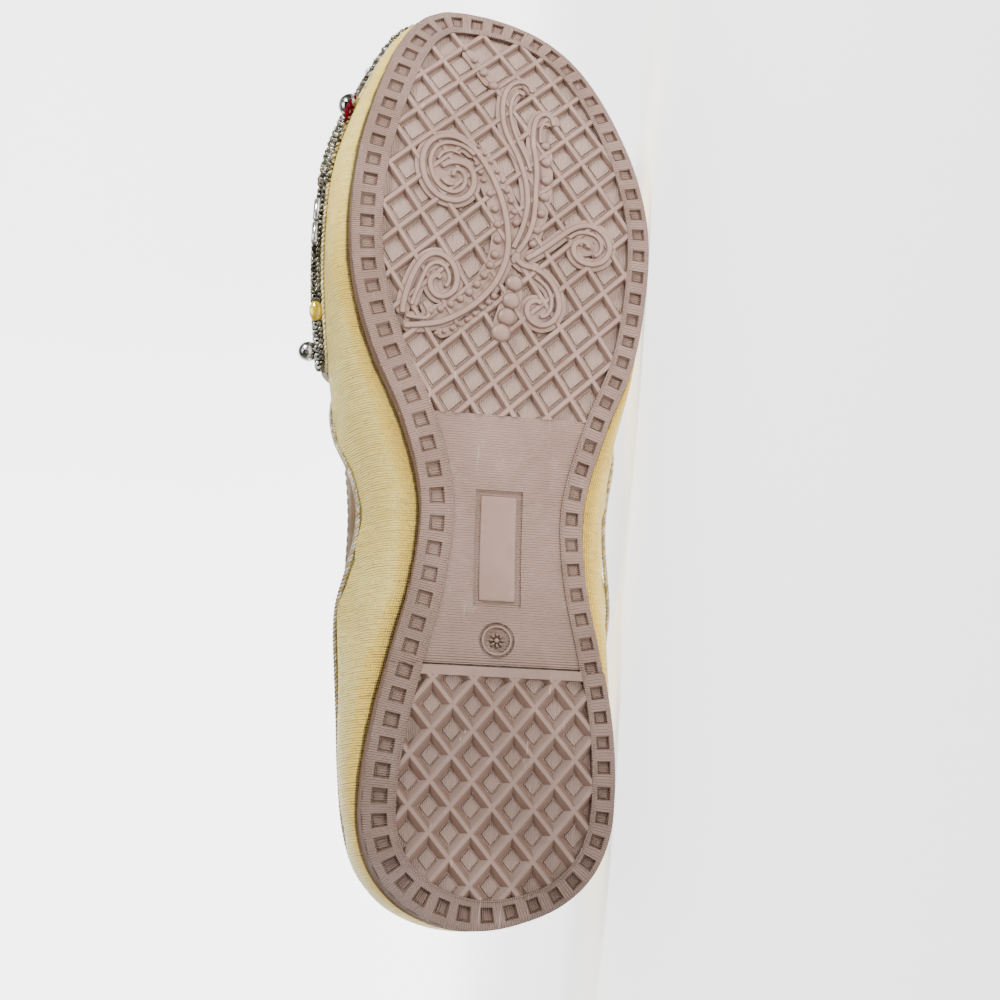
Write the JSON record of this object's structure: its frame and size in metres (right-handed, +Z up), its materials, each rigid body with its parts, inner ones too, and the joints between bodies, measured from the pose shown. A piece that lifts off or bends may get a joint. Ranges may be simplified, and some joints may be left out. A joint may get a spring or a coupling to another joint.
{
  "type": "mojari shoe",
  "caption": "Flat slip-on mojari shoe, left, lying on its side: ribbed rubber outsole, hollow fabric upper with beaded vamp, low dipped collar and footbed",
  "frame": {"origin": "centre of the footprint of the shoe's bounding box, on the floor that it lies on", "axes": "+X from heel to toe, -Y the way the tread faces, +Z up, towards the medial side of the shoe; the shoe lies on its lateral side"},
  "size_m": [0.245, 0.0596, 0.0874],
  "materials": {
    "outsole_rubber": "matt moulded rubber, mauve taupe",
    "tissue_fabric": "cream gold tissue weave, soft sheen",
    "lining_leather": "smooth tan brown lining",
    "facing_leather": "glossy dark tan lining",
    "embroidered_fabric": "bead and wire embroidery on fabric",
    "silver_metal": "polished silver"
  },
  "bodies": {
    "root": {"outsole": "outsole_rubber", "upper": "tissue_fabric", "footbed": "lining_leather", "collar_facing": "facing_leather", "bead_panel": "embroidered_fabric", "silver_ball_1": "silver_metal", "silver_ball_2": "silver_metal"}
  },
  "joints": []
}
